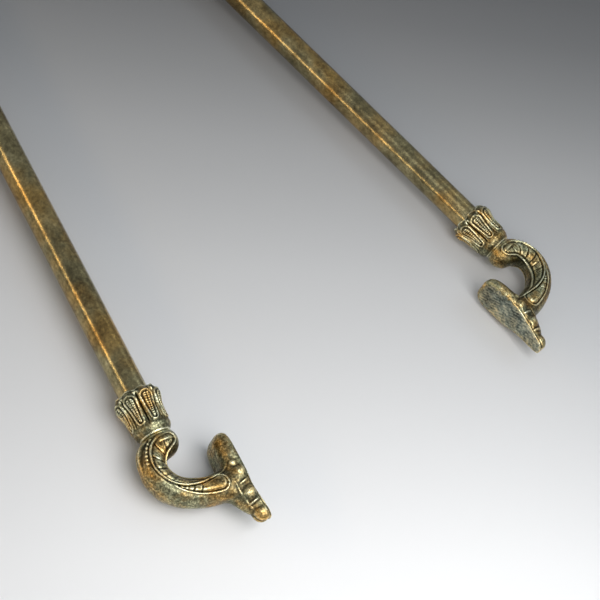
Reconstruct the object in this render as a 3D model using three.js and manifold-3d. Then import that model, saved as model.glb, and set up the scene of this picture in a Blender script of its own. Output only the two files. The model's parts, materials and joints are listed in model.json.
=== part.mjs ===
// Victorian pattern fire tongs in brass, lying flat: a flattened cast grip and shaft end in a riveted fork, and two
// equal arms turn on the rivet. Each arm is a hinge leaf with a bent shoulder, a round rod between two tulip
// collars, and a cast C-scroll jaw with a flat gripping pad. Hidden threaded studs and a tie rod hold it together.
//
// Millimetres. The origin is on the rivet's axis, on the surface that the tongs lie on. +X runs along the centre
// line towards the jaws, +Z is up, and the left arm is the one at +Y.
import * as THREE from 'three';
import { mergeVertices } from 'three/addons/utils/BufferGeometryUtils.js';
import Module from 'manifold-3d';

const wasm = await Module();
wasm.setup();

// ---- Driving dimensions ----
const ROD_R = 5;              // arms and handle shaft are the same 10 mm bar
const HALF_OPEN = 9.37;       // degrees that each arm stands off the centre line at rest
const PLANE_Z = 8.2;          // height of the plane that holds every centre line
const ARM_OFFSET = 21;        // the rod's axis passes this far outside the rivet's axis
const RIM_U = 362;            // from the rivet's foot on the rod's axis to the lower collar's mouth
const GAP = 0.3;              // clearance between pieces that touch
const FILM = 0.05;            // clearance under a rivet's head
const SIDES = 24;             // facets of a round piece

const COLLAR_LENGTH = 15;
const COLLAR_SEAT = 8;        // how far a rod enters its collar
const STUD_R = 2.5;
const STUD_BORE_R = STUD_R + GAP;
const STUD_DEPTH = 13;        // thread held in a rod's end
const STUD_REACH = 6;         // thread held in a casting beyond the collar

const PIN_R = 3;
const PIN_BORE_R = 3.2;
const LEAF_R = 11.5;
const LEAF_LOW = 0.45;        // a leaf lies between these heights above the centre plane
const LEAF_HIGH = 3.65;
const CHEEK_R = 12;
const CHEEK_LOW = 3.8;
const CHEEK_HIGH = 6.6;
const HEAD_R = 6.5;           // rivet head
const ROSETTE_R = 9;
const ROSETTE_THICK = 0.6;

const SOCKET_U = 46;          // where the arm's upper collar starts
const SOCKET_R = 5.3;

const PAD_FACE_N = ARM_OFFSET - 0.15; // the gripping face, measured inwards from the rod's axis
const PAD_TOP_U = 21;         // pad's ends, measured from the lower collar's mouth
const PAD_TIP_U = 53.5;
const PAD_BEND_U = 41;        // from here to the tip the face leans inwards, by this much for each mm
const PAD_LEAN = 0.21;

const YOKE_NECK_V = 27;       // v is measured from the rivet towards the finial
const SHAFT_LENGTH = 62;
const GRIP_LENGTH = 84;
const RING_LENGTH = 5;
const FINIAL_LENGTH = 30;

// ---- Materials ----
const metal = (color, roughness) => new THREE.MeshStandardMaterial({ color, roughness, metalness: 1 });
const ROD_BRASS = metal(0x8a7340, 0.38);
const CAST_BRASS = metal(0x7d6a3a, 0.45);
const STEEL = metal(0x5e5c58, 0.5);

// ---- Solids ----
const root = new THREE.Group();

function solid(geometry) {
  const bare = (geometry.index ? geometry.toNonIndexed() : geometry).clone();
  for (const name of ['normal', 'uv']) bare.deleteAttribute(name);
  const merged = mergeVertices(bare, 1e-4);
  return new wasm.Manifold(new wasm.Mesh({
    numProp: 3,
    vertProperties: new Float32Array(merged.attributes.position.array),
    triVerts: new Uint32Array(merged.index.array),
  }));
}

function geometryOf(manifold) {
  const mesh = manifold.getMesh();
  const geometry = new THREE.BufferGeometry();
  geometry.setAttribute('position', new THREE.BufferAttribute(mesh.vertProperties, 3));
  geometry.setIndex(new THREE.BufferAttribute(mesh.triVerts, 1));
  geometry.computeVertexNormals();
  return geometry;
}

function place(group, name, manifold, material) {
  const mesh = new THREE.Mesh(geometryOf(manifold), material);
  mesh.name = name;
  group.add(mesh);
}

// A body turned about the X axis. The profile is a list of [x, radius]; it starts and ends on the axis.
function turned(profile, sides = SIDES) {
  const points = profile.map(([x, r]) => new THREE.Vector2(r, x));
  return solid(new THREE.LatheGeometry(points, sides).rotateZ(-Math.PI / 2));
}

const bar = (x0, x1, r, sides = SIDES) => turned([[x0, 0], [x0, r], [x1, r], [x1, 0]], sides);

function upright(r, z0, z1, x = 0, y = 0, sides = SIDES) {
  const geometry = new THREE.CylinderGeometry(r, r, z1 - z0, sides);
  return solid(geometry.rotateX(Math.PI / 2).translate(x, y, (z0 + z1) / 2));
}

function block(x0, x1, y0, y1, z0, z1) {
  const geometry = new THREE.BoxGeometry(x1 - x0, y1 - y0, z1 - z0);
  return solid(geometry.translate((x0 + x1) / 2, (y0 + y1) / 2, (z0 + z1) / 2));
}

// A bar swept through stations {at: [x, y, z], side, rise}: half its width in the XY plane and half its height.
function swept(stations, steps, sides = 12) {
  const path = new THREE.CatmullRomCurve3(stations.map((s) => new THREE.Vector3(...s.at)), false, 'centripetal');
  const sizes = new THREE.CatmullRomCurve3(stations.map((s) => new THREE.Vector3(s.side, s.rise, 0)));
  const geometry = new THREE.CylinderGeometry(1, 1, 1, sides, steps);
  const position = geometry.attributes.position;
  const up = new THREE.Vector3(0, 0, 1);
  for (let i = 0; i < position.count; i++) {
    const t = position.getY(i) + 0.5;
    const along = path.getTangent(t);
    const across = new THREE.Vector3(along.y, -along.x, 0).normalize();
    const size = sizes.getPoint(t);
    const point = path.getPoint(t);
    point.addScaledVector(across, position.getX(i) * size.x);
    point.addScaledVector(up, position.getZ(i) * size.y);
    position.setXYZ(i, point.x, point.y, point.z);
  }
  return solid(geometry);
}

const union = (...parts) => parts.reduce((whole, part) => whole.add(part));

// ---- Collars ----
// Fluted tulip, mouth at x = 0 and base at +COLLAR_LENGTH, with a seat for the rod and a clear hole for the stud.
function collar() {
  const outside = turned([
    [0, 0], [0, 6.2], [-0.4, 7.2], [0.6, 7.95], [2.2, 7.5], [3.8, 7], [8, 6.8], [11.2, 6.3], [12.8, 6.4], [13.8, 6],
    [COLLAR_LENGTH, 5.1], [COLLAR_LENGTH, 0],
  ]);
  return outside
    .subtract(bar(-1, COLLAR_SEAT, ROD_R + GAP))
    .subtract(bar(COLLAR_SEAT - 1, COLLAR_LENGTH + 1, STUD_BORE_R, 16));
}

const turnedRound = (manifold) => manifold.scale([-1, -1, 1]);

// A rod with a blind threaded hole in each end that takes a stud.
function rod(x0, x1) {
  return bar(x0, x1, ROD_R)
    .subtract(bar(x0 - 1, x0 + STUD_DEPTH + GAP, STUD_BORE_R, 16))
    .subtract(bar(x1 - STUD_DEPTH - GAP, x1 + 1, STUD_BORE_R, 16));
}

// ---- Arm parts, in the arm's own frame: rivet at the origin, rod along +X, outwards is +Y ----
function knuckle() {
  const leafMid = (LEAF_LOW + LEAF_HIGH) / 2;
  const leafHalf = (LEAF_HIGH - LEAF_LOW) / 2;
  const shoulder = swept([
    { at: [4, 3, leafMid], side: 5.5, rise: leafHalf },
    { at: [9.5, 8, leafMid], side: 4.6, rise: leafHalf },
    { at: [16, 15.2, 0.9], side: 4.2, rise: 3.6 },
    { at: [23, 20.6, 0], side: 4.6, rise: 4.6 },
    { at: [32, ARM_OFFSET, 0], side: 5, rise: 5 },
    { at: [SOCKET_U - GAP, ARM_OFFSET, 0], side: SOCKET_R, rise: SOCKET_R },
  ], 14);
  const clearOfFork = upright(CHEEK_R + 0.6, -9, LEAF_LOW, 0, 0, 32)
    .add(upright(CHEEK_R + 0.6, LEAF_HIGH, 9, 0, 0, 32));
  return shoulder
    .subtract(clearOfFork)
    .add(upright(LEAF_R, LEAF_LOW, LEAF_HIGH, 0, 0, 32))
    .subtract(upright(PIN_BORE_R, -9, 9))
    .subtract(bar(SOCKET_U - STUD_REACH - 2 * GAP, SOCKET_U + 1, STUD_BORE_R, 16).translate([0, ARM_OFFSET, 0]));
}

// The jaw: a round-section C-scroll that runs out, down and back inwards to the pad. (u, n) is measured from the
// collar's mouth and inwards from the rod's axis.
const jawPoint = (u, n, z = 0) => [RIM_U + u, ARM_OFFSET - n, z];

const padFace = (u) => PAD_FACE_N + PAD_LEAN * Math.max(0, u - PAD_BEND_U);

function padBack() {
  const station = (u, side, rise, sink) => ({ at: jawPoint(u, padFace(u) - sink), side, rise });
  return swept([
    station(PAD_TOP_U, 1.2, 2, 1.6),
    station(22.8, 3.6, 5.4, 1.2),
    station(26.5, 5, 7, 0.8),
    station(31, 5.6, 7.4, 0.8),
    station(37, 5.6, 6.9, 0.8),
    station(43, 5, 6, 0.6),
    station(48, 3.8, 4.8, 0.6),
    station(51.5, 2.4, 3.2, 0.7),
    station(PAD_TIP_U, 1.2, 1.6, 0.8),
  ], 20);
}

// All that lies on the other arm's side of the gripping face.
function beyondFace() {
  const far = padFace(PAD_TIP_U);
  const outline = [
    [0, PAD_FACE_N], [PAD_BEND_U, PAD_FACE_N], [PAD_TIP_U, far], [PAD_TIP_U + 20, far], [PAD_TIP_U + 20, 45], [0, 45],
  ];
  const shape = new THREE.Shape(outline.map(([u, n]) => new THREE.Vector2(RIM_U + u, ARM_OFFSET - n)));
  const geometry = new THREE.ExtrudeGeometry(shape, { depth: 24, bevelEnabled: false });
  return solid(geometry.translate(0, 0, -12));
}

function jaw() {
  const headLobe = turned([
    [COLLAR_LENGTH + GAP, 0], [COLLAR_LENGTH + GAP, 4.9], [16.4, 5.4], [18.5, 5.7], [21, 5.2], [23, 3.6], [23.6, 0],
  ]);
  const scroll = swept([
    { at: jawPoint(19.4, 0.2), side: 4.6, rise: 5 },
    { at: jawPoint(20.6, -3.8), side: 4.7, rise: 5.2 },
    { at: jawPoint(23.4, -5.8), side: 4.5, rise: 5.3 },
    { at: jawPoint(27, -6.3), side: 4.5, rise: 5.3 },
    { at: jawPoint(31.4, -4.9), side: 4.5, rise: 5.3 },
    { at: jawPoint(35, -1.4), side: 4.6, rise: 5.3 },
    { at: jawPoint(37.4, 4.4), side: 4.8, rise: 5.3 },
    { at: jawPoint(38, 10), side: 5, rise: 5.2 },
    { at: jawPoint(37.8, 16.5), side: 5, rise: 5 },
  ], 24);
  return union(scroll, padBack(), headLobe.translate([RIM_U, ARM_OFFSET, 0]))
    .subtract(beyondFace())
    .subtract(bar(RIM_U, RIM_U + COLLAR_LENGTH + STUD_REACH + 2 * GAP, STUD_BORE_R, 16)
      .translate([0, ARM_OFFSET, 0]));
}

function addArm(side, tilt) {
  const group = new THREE.Group();
  group.position.z = PLANE_Z;
  group.rotation.set(tilt, 0, THREE.MathUtils.degToRad(HALF_OPEN));
  const onRod = (manifold) => manifold.translate([0, ARM_OFFSET, 0]);
  const upperMouth = SOCKET_U + COLLAR_LENGTH;
  const rodStart = upperMouth - COLLAR_SEAT + GAP;
  const rodEnd = RIM_U + COLLAR_SEAT - GAP;
  place(group, `${side}_hinge_leaf`, knuckle(), CAST_BRASS);
  place(group, `${side}_upper_stud`, onRod(bar(SOCKET_U - STUD_REACH, rodStart + STUD_DEPTH, STUD_R, 16)), STEEL);
  place(group, `${side}_upper_collar`, onRod(turnedRound(collar()).translate([upperMouth, 0, 0])), CAST_BRASS);
  place(group, `${side}_rod`, onRod(rod(rodStart, rodEnd)), ROD_BRASS);
  place(group, `${side}_lower_collar`, onRod(collar().translate([RIM_U, 0, 0])), CAST_BRASS);
  place(group, `${side}_lower_stud`,
    onRod(bar(rodEnd - STUD_DEPTH, RIM_U + COLLAR_LENGTH + STUD_REACH, STUD_R, 16)), STEEL);
  place(group, `${side}_jaw`, jaw(), CAST_BRASS);
  root.add(group);
}

// ---- Handle parts, running from the rivet towards -X ----
function yoke() {
  const body = swept([
    { at: [0, 0, 0], side: CHEEK_R, rise: CHEEK_HIGH },
    { at: [-8, 0, 0], side: CHEEK_R, rise: CHEEK_HIGH },
    { at: [-14, 0, 0], side: 10.6, rise: CHEEK_HIGH },
    { at: [-19, 0, 0], side: 7.2, rise: 6.4 },
    { at: [-23, 0, 0], side: 5.3, rise: 5.3 },
    { at: [-YOKE_NECK_V + GAP, 0, 0], side: 5.3, rise: 5.3 },
  ], 10, 16);
  const slot = upright(CHEEK_R + 1.2, -CHEEK_LOW, CHEEK_LOW, 0, 0, 32)
    .add(block(0, 20, -20, 20, -CHEEK_LOW, CHEEK_LOW));
  const round = upright(CHEEK_R, -CHEEK_HIGH, CHEEK_HIGH, 0, 0, 32);
  const tooTall = block(-30, 20, -20, 20, CHEEK_HIGH, 12).add(block(-30, 20, -20, 20, -12, -CHEEK_HIGH));
  return union(body, round)
    .subtract(tooTall)
    .subtract(slot)
    .subtract(upright(PIN_BORE_R, -9, 9))
    .subtract(bar(-YOKE_NECK_V - 1, -YOKE_NECK_V + STUD_REACH + 2 * GAP, STUD_BORE_R, 16));
}

// The rivet: a shank with a flat-topped head at each end, and a rosette washer under each head.
function rivet() {
  const shank = upright(PIN_R, -PLANE_Z + 0.5, PLANE_Z - 0.5);
  const under = CHEEK_HIGH + ROSETTE_THICK + 2 * FILM;
  const head = (low, high, rLow, rHigh) => {
    const geometry = new THREE.CylinderGeometry(rHigh, rLow, high - low, SIDES);
    return solid(geometry.rotateX(Math.PI / 2).translate(0, 0, (low + high) / 2));
  };
  return union(shank, head(under, PLANE_Z, HEAD_R, HEAD_R - 1.2), head(-PLANE_Z, -under, HEAD_R - 1.2, HEAD_R));
}

function washer(r, low, high) {
  return upright(r, low, high).subtract(upright(PIN_BORE_R, low - 1, high + 1));
}

// The grip is flatter than it is wide, so that the tongs lie level.
function grip(v0) {
  const v1 = v0 + GRIP_LENGTH;
  const at = (v, side, rise) => ({ at: [-v, 0, 0], side, rise });
  return swept([
    at(v0, 5.6, 5.6),
    at(v0 + 5, 7.4, 7.2),
    at(v0 + 11, 6.6, 6),
    at(v0 + 24, 9.4, 7.2),
    at(v0 + 42, 12.4, 8.1),
    at(v0 + 58, 12, 8.1),
    at(v0 + 70, 8.6, 7),
    at(v0 + 78, 6.2, 6),
    at(v1, 7, 7),
  ], 20, 20).subtract(bar(-v1 - 1, -v0 + 1, STUD_BORE_R, 16));
}

function finial(v0) {
  const v1 = v0 + FINIAL_LENGTH;
  const at = (v, side, rise) => ({ at: [-v, 0, 0], side, rise });
  return swept([
    at(v0, 5, 5), at(v0 + 3, 7.6, 6.8), at(v0 + 8, 11.4, 8), at(v0 + 14, 12, 8.1), at(v0 + 20, 9.6, 7.6),
    at(v0 + 25, 5.2, 5), at(v1 - 1.5, 3.6, 3.6), at(v1, 1.4, 1.4),
  ], 16, 20).subtract(bar(-v0 - 11, -v0 + 1, STUD_BORE_R, 16));
}

function addHandle() {
  const group = new THREE.Group();
  group.position.z = PLANE_Z;
  const yokeMouth = YOKE_NECK_V + COLLAR_LENGTH;
  const shaftStart = yokeMouth - COLLAR_SEAT + GAP;
  const shaftEnd = shaftStart + SHAFT_LENGTH;
  const gripMouth = shaftEnd - COLLAR_SEAT + GAP;
  const gripStart = gripMouth + COLLAR_LENGTH + GAP;
  const ringStart = gripStart + GRIP_LENGTH + GAP;
  const finialStart = ringStart + RING_LENGTH + GAP;
  const rosetteLow = CHEEK_HIGH + FILM;
  const ringProfile = [
    [0, 0], [0, 6.4], [1, 7.8], [RING_LENGTH / 2, 8.1], [RING_LENGTH - 1, 7.8], [RING_LENGTH, 6.4], [RING_LENGTH, 0],
  ];

  place(group, 'hinge_yoke', yoke(), CAST_BRASS);
  place(group, 'hinge_rivet', rivet(), STEEL);
  place(group, 'upper_rosette', washer(ROSETTE_R, rosetteLow, rosetteLow + ROSETTE_THICK), CAST_BRASS);
  place(group, 'lower_rosette', washer(ROSETTE_R, -rosetteLow - ROSETTE_THICK, -rosetteLow), CAST_BRASS);
  place(group, 'leaf_washer', washer(LEAF_R - 1, -0.3, 0.3), STEEL);
  place(group, 'yoke_stud', bar(-shaftStart - STUD_DEPTH, -YOKE_NECK_V + STUD_REACH, STUD_R, 16), STEEL);
  place(group, 'yoke_collar', collar().translate([-yokeMouth, 0, 0]), CAST_BRASS);
  place(group, 'handle_shaft', rod(-shaftEnd, -shaftStart), ROD_BRASS);
  place(group, 'grip_collar', turnedRound(collar()).translate([-gripMouth, 0, 0]), CAST_BRASS);
  place(group, 'grip', grip(gripStart), CAST_BRASS);
  place(group, 'finial_ring', turned(ringProfile).subtract(bar(-1, RING_LENGTH + 1, STUD_BORE_R, 16))
    .translate([-ringStart - RING_LENGTH, 0, 0]), CAST_BRASS);
  place(group, 'finial', finial(finialStart), CAST_BRASS);
  place(group, 'tie_rod', bar(-finialStart - 10, -shaftEnd + STUD_DEPTH, STUD_R, 16), STEEL);
  root.add(group);
}

addHandle();
addArm('left', 0);
addArm('right', Math.PI); // the same arm, turned over about the centre line

export default root;
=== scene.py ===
"""The looks of a pair of brass fire tongs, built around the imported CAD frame, in metres in the row frame.

Castings are worked out in millimetres in a local frame: u runs along the arm from the mouth of its lower
collar towards the jaw, n points inwards to the other arm, and w is square to both. Each casting is a
distance field that is meshed here. Turned pieces are rings of points round their axis.
"""

import json
import math

import bpy
import numpy as np
from mathutils import Matrix, Vector


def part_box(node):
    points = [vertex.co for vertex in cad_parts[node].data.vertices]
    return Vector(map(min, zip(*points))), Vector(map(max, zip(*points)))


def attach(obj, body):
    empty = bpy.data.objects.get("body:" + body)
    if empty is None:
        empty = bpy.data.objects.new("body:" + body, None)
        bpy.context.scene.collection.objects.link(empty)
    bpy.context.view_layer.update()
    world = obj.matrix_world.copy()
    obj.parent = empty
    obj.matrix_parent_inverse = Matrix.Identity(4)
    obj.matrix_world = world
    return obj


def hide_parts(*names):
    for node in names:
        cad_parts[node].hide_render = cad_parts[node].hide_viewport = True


MM = 0.001
SIDES = ("left", "right")

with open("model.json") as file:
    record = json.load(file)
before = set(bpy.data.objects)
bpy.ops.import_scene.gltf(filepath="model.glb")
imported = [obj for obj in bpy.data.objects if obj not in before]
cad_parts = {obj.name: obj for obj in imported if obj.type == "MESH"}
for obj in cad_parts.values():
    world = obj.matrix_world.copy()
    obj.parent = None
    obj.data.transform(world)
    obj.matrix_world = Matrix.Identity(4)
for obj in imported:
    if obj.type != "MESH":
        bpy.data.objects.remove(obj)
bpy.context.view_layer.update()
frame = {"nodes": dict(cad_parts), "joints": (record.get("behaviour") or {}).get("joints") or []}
rng = np.random.default_rng(1870)


# ---- numbers and curves
def ease(x, low, high):
    """0 at low and 1 at high, smoothly in between."""
    t = np.clip((x - low) / (high - low), 0, 1)
    return t * t * (3 - 2 * t)


def bump(x, width):
    """A rounded ridge of height 1 at x = 0."""
    return np.exp(-((x / width) ** 2))


def finer(fine):
    return fine


def round_angles(count):
    return np.linspace(0, 2 * np.pi, count, endpoint=False)


def curve_through(points, count):
    """Points evenly spaced along a smooth curve through the given ones. Other columns ride along."""
    points = np.asarray(points, float)
    chord = np.r_[0, np.cumsum(np.linalg.norm(np.diff(points[:, :2], axis=0), axis=1) ** 0.5)]
    fine = np.linspace(0, chord[-1], 40 * len(points))
    padded = np.vstack([2 * points[0] - points[1], points, 2 * points[-1] - points[-2]])
    knots = np.r_[-chord[1], chord, 2 * chord[-1] - chord[-2]]
    dense = catmull_rom(padded, knots, fine)
    length = np.r_[0, np.cumsum(np.linalg.norm(np.diff(dense[:, :2], axis=0), axis=1))]
    even = np.linspace(0, length[-1], count)
    return np.stack([np.interp(even, length, column) for column in dense.T], 1), even


def catmull_rom(points, knots, at):
    segment = np.clip(np.searchsorted(knots, at, side="right") - 1, 1, len(points) - 3)
    p, t = ([values[segment + k] for k in (-1, 0, 1, 2)] for values in (points, knots[:, None]))
    at = at[:, None]
    for reach in (1, 2):
        p = [((t[k + reach] - at) * p[k] + (at - t[k]) * p[k + 1]) / (t[k + reach] - t[k])
             for k in range(4 - reach)]
    return ((t[2] - at) * p[0] + (at - t[1]) * p[1]) / (t[2] - t[1])


def profile(at, table):
    """A smooth function through a short list of (place, value)."""
    places, values = np.array(table, float).T
    slopes = np.gradient(values, places)
    return hermite(np.clip(at, places[0], places[-1]), places, values, slopes)


def hermite(at, places, values, slopes):
    k = np.clip(np.searchsorted(places, at, side="right") - 1, 0, len(places) - 2)
    span = places[k + 1] - places[k]
    t = (at - places[k]) / span
    rise = (1 + 2 * t) * (1 - t) ** 2 * values[k] + t * t * (3 - 2 * t) * values[k + 1]
    return rise + span * (t * (1 - t) ** 2 * slopes[k] - t * t * (1 - t) * slopes[k + 1])


# ---- distance fields
def smooth_min(a, b, blend):
    h = np.clip(0.5 + 0.5 * (b - a) / blend, 0, 1)
    return b + (a - b) * h - blend * h * (1 - h)


def grid(low, high, step):
    """Coordinate arrays that cover a box, one shape, 32-bit."""
    axes = [np.arange(lo, hi + step, step, dtype=np.float32) for lo, hi in zip(low, high)]
    return np.meshgrid(*axes, indexing="ij", sparse=True)


def cut(body, *tools):
    """The body's field, cut away wherever a tool's field is positive."""
    for tool in tools:
        body = np.maximum(body, tool)
    return body


def surface_of(field, low, step):
    """The closed quad mesh, by surface nets, where a grid's field turns from negative to positive."""
    cells = tuple(n - 1 for n in field.shape)
    total = int(np.prod(cells))
    solid = field < 0
    sums = np.zeros((3, total))
    uses = np.zeros(total)
    quads = []
    for axis in range(3):
        first = [slice(None)] * 3
        second = [slice(None)] * 3
        first[axis], second[axis] = slice(0, -1), slice(1, None)
        at = np.argwhere(solid[tuple(first)] != solid[tuple(second)])
        value_a = field[tuple(first)][tuple(at.T)]
        value_b = field[tuple(second)][tuple(at.T)]
        place = at.astype(float)
        place[:, axis] += value_a / (value_a - value_b)
        a, b = (axis + 1) % 3, (axis + 2) % 3
        ring = []
        for back_a, back_b in ((0, 0), (1, 0), (1, 1), (0, 1)):
            cell = at.copy()
            cell[:, a] -= back_a
            cell[:, b] -= back_b
            flat = np.ravel_multi_index(tuple(cell.T), cells)
            ring.append(flat)
            uses += np.bincount(flat, minlength=total)
            for k in range(3):
                sums[k] += np.bincount(flat, place[:, k], minlength=total)
        quad = np.stack(ring, 1)
        quads.append(np.where((value_a < 0)[:, None], quad, quad[:, ::-1]))
    used = np.flatnonzero(uses)
    number = np.zeros(total, np.int64)
    number[used] = np.arange(len(used))
    points = (sums[:, used] / uses[used]).T * step + np.asarray(low)
    return points, number[np.vstack(quads)]


# ---- meshes
def normals_of(points, quads):
    corner = points[quads]
    normal = np.cross(corner[:, 2] - corner[:, 0], corner[:, 3] - corner[:, 1])
    outward = np.zeros_like(points)
    for k in range(3):
        for c in range(4):
            outward[:, k] += np.bincount(quads[:, c], normal[:, k], minlength=len(points))
    return outward / np.linalg.norm(outward, axis=1, keepdims=True).clip(1e-12)


def relief(points, quads, rounds):
    """How far each point stands proud of the surface smoothed around it: a map of edges and hollows."""
    edges = np.vstack([quads[:, [k, (k + 1) % 4]] for k in range(4)])
    count = len(points)
    degree = np.bincount(edges.ravel(), minlength=count).clip(1)
    smooth = points.copy()
    for _ in range(rounds):
        total = np.zeros_like(smooth)
        for k in range(3):
            total[:, k] = np.bincount(edges[:, 0], smooth[edges[:, 1], k], minlength=count)
            total[:, k] += np.bincount(edges[:, 1], smooth[edges[:, 0], k], minlength=count)
        smooth += 0.7 * (total / degree[:, None] - smooth)
    return ((points - smooth) * normals_of(points, quads)).sum(1)


def add_object(name, data):
    obj = bpy.data.objects.new(name, data)
    bpy.context.scene.collection.objects.link(obj)
    return obj


def make_mesh(name, points, faces, place=None, proud=None):
    """A smooth-shaded mesh object. points are in mm, and place puts them in the row frame."""
    points = np.asarray(points, float) * MM
    if place is not None:
        matrix = np.array(place)
        points = points @ matrix[:3, :3].T + matrix[:3, 3]
    mesh = bpy.data.meshes.new(name)
    sizes = np.array([len(face) for face in faces], np.int32)
    corners = np.concatenate(faces).astype(np.int32)
    mesh.vertices.add(len(points))
    mesh.vertices.foreach_set("co", points.astype(np.float32).ravel())
    mesh.loops.add(len(corners))
    mesh.loops.foreach_set("vertex_index", corners)
    mesh.polygons.add(len(sizes))
    mesh.polygons.foreach_set("loop_start", np.r_[0, np.cumsum(sizes)[:-1]].astype(np.int32))
    mesh.polygons.foreach_set("loop_total", sizes)
    mesh.update(calc_edges=True)
    mesh.polygons.foreach_set("use_smooth", np.ones(len(sizes), bool))
    if proud is not None:
        layer = mesh.attributes.new("proud", "FLOAT", "POINT")
        layer.data.foreach_set("value", np.asarray(proud, np.float32))
    return add_object(name, mesh)


def ring_skin(rings, closed):
    """Points and outward quads of a skin through rings. If closed, the last ring joins the first."""
    rings = np.asarray(rings, float)
    count, around = rings.shape[:2]
    index = np.arange(count * around).reshape(count, around)
    here, there = (index, np.roll(index, -1, axis=0)) if closed else (index[:-1], index[1:])
    next_here, next_there = (np.roll(ring, -1, axis=1) for ring in (here, there))
    quads = np.stack([here, next_here, next_there, there], -1).reshape(-1, 4)
    points = rings.reshape(-1, 3)
    a, b, c, d = points[quads].transpose(1, 0, 2)
    volume = (a * (np.cross(b, c) + np.cross(c, d))).sum()
    return points, quads if volume > 0 else quads[:, ::-1]


def capped_skin(rings):
    """The skin through rings of points, with a flat face over its first ring and its last."""
    points, quads = ring_skin(rings, closed=False)
    first = np.arange(len(rings[0]))
    last = first + len(points) - len(first)
    outward = quads[0][0] == 0
    caps = [first[::-1], last] if outward else [first, last[::-1]]
    return points, [*quads, *caps]


def turned_rings(rows, angle):
    """Rings from rows of (x, radius) or (x, half width, half height), numbers or one value an angle."""
    return [np.stack([x + 0 * angle, r[0] * np.sin(angle), r[-1] * np.cos(angle)], 1) for x, *r in rows]


# ---- places taken from the frame
def vertices_of(node):
    mesh = frame["nodes"][node].data
    points = np.zeros(len(mesh.vertices) * 3)
    mesh.vertices.foreach_get("co", points)
    return points.reshape(-1, 3)


def bar_axis(node):
    """A point on a bar's axis, and its direction, which points to +X."""
    points = vertices_of(node)
    middle = (points.max(0) + points.min(0)) / 2
    direction = np.linalg.svd(points - points.mean(0), full_matrices=False)[2][0]
    return middle, direction * np.sign(direction[0])


def span_along(node, middle, direction):
    along = (vertices_of(node) - middle) @ direction
    return along.min(), along.max()


def place_matrix(origin, along, inward):
    columns = [list(axis) for axis in (along, inward, np.cross(along, inward), origin)]
    return Matrix([*zip(*columns), (0, 0, 0, 1)])


COLLAR_LENGTH = 15.0
COLLAR_SEAT = 8.0
STUD_BORE = 2.8
STUD_HOLE_END = 21.9
middle_of, along_of, inward_of, mouth_of = {}, {}, {}, {}
for side in SIDES:
    middle, along = bar_axis(side + "_rod")
    towards_centre = -1 if middle[1] > 0 else 1
    middle_of[side], along_of[side] = middle, along
    inward_of[side] = np.array([-along[1], along[0], 0]) * towards_centre
    base = span_along(side + "_lower_collar", middle, along)[1]
    mouth_of[side] = middle + along * (base - COLLAR_LENGTH * MM)

rod_radius = (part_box("handle_shaft")[1].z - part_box("handle_shaft")[0].z) / 2 / MM
pivot = frame["joints"][0]["pos_m"]
centre = np.array([pivot[0], pivot[1], middle_of["left"][2]])
rim_u = float((mouth_of["left"] - centre) @ along_of["left"]) / MM
arm_offset = -float((mouth_of["left"] - centre) @ inward_of["left"]) / MM


# ---- castings
def nearest_on(curve, u, n):
    """For each (u, n), how far it is along the curve, to its left and before its start."""
    best = np.full(u.shape, np.inf)
    index = np.zeros(u.shape, int)
    for k, (cu, cn) in enumerate(curve[:, :2]):
        gap = (u - cu) ** 2 + (n - cn) ** 2
        closer = gap < best
        best[closer] = gap[closer]
        index[closer] = k
    tangent = np.gradient(curve[:, :2], axis=0)
    step = np.linalg.norm(tangent, axis=1)
    tangent /= step[:, None]
    away_u, away_n = u - curve[index, 0], n - curve[index, 1]
    ahead = away_u * tangent[index, 0] + away_n * tangent[index, 1]
    left = away_n * tangent[index, 0] - away_u * tangent[index, 1]
    before = np.where(index == 0, np.maximum(-ahead, 0), 0)
    along = index * np.median(step) + np.clip(ahead, -step[0], step[0])
    return along, left, before


def superellipse(x, y, power):
    return (np.abs(x) ** power + np.abs(y) ** power) ** (1 / power)


def per_mm(field, step):
    """The field scaled so that it grows by about 1 each mm near its surface."""
    slope = np.sqrt(sum(g * g for g in np.gradient(field, step)))
    return field / np.maximum(slope, 0.05)


def sweep(stations, u, n, w, power=2.2):
    """A bar of oval section along a curve of stations.

    A station is u, n, half the bar's width, half its height and the height of its middle. Gives how far
    along and how far round it each place is, its bearing round the start, the size there and the field.
    """
    flat_u, flat_n = np.broadcast_arrays(u[:, :, 0], n[:, :, 0])
    curve, length = curve_through(stations, 420)
    s, left, before = nearest_on(curve, flat_u, flat_n)
    side, rise, middle = (np.interp(s, length, column) for column in curve[:, 2:5].T)
    lateral = np.hypot(left, before)
    signed = np.where(left < 0, -lateral, lateral)
    cap = np.where(before > 0, 0.5 + np.arctan2(left, before) / np.pi, 0)
    s, side, rise, middle, lateral, signed, cap = (
        x.astype(np.float32)[:, :, None] for x in (s, side, rise, middle, lateral, signed, cap))
    share = superellipse(lateral / side, (w - middle) / rise, power)
    reach = np.sqrt(lateral ** 2 + (w - middle) ** 2)
    phi = np.degrees(np.arctan2((w - middle) / rise, signed / side))
    return s, phi, cap, (side + rise) / 2, reach - reach / np.maximum(share, 0.05)


CARVED_WITHIN = 2.5


def carving_of(field, work, *maps):
    """The relief that work gives for the maps' values, worked out only near the field's surface."""
    where = np.nonzero(np.abs(field) < CARVED_WITHIN)
    flat = where[0], where[1], np.zeros_like(where[2])
    carving = np.zeros(field.shape, np.float32)
    carving[where] = work(*(m[where] if m.shape[2] > 1 else m[flat] for m in maps))
    return carving


def rough_cast(points, depth, lengths=(1.1, 1.9, 3.4, 6.0)):
    """A random wave through space, for the uneven skin that a sand casting has."""
    wave = np.zeros(len(points))
    for length in lengths:
        for _ in range(3):
            direction = rng.normal(size=3)
            direction *= 2 * np.pi / length / np.linalg.norm(direction)
            wave += length ** 0.5 * np.sin(points @ direction + rng.uniform(0, 2 * np.pi))
    return depth * wave


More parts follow.
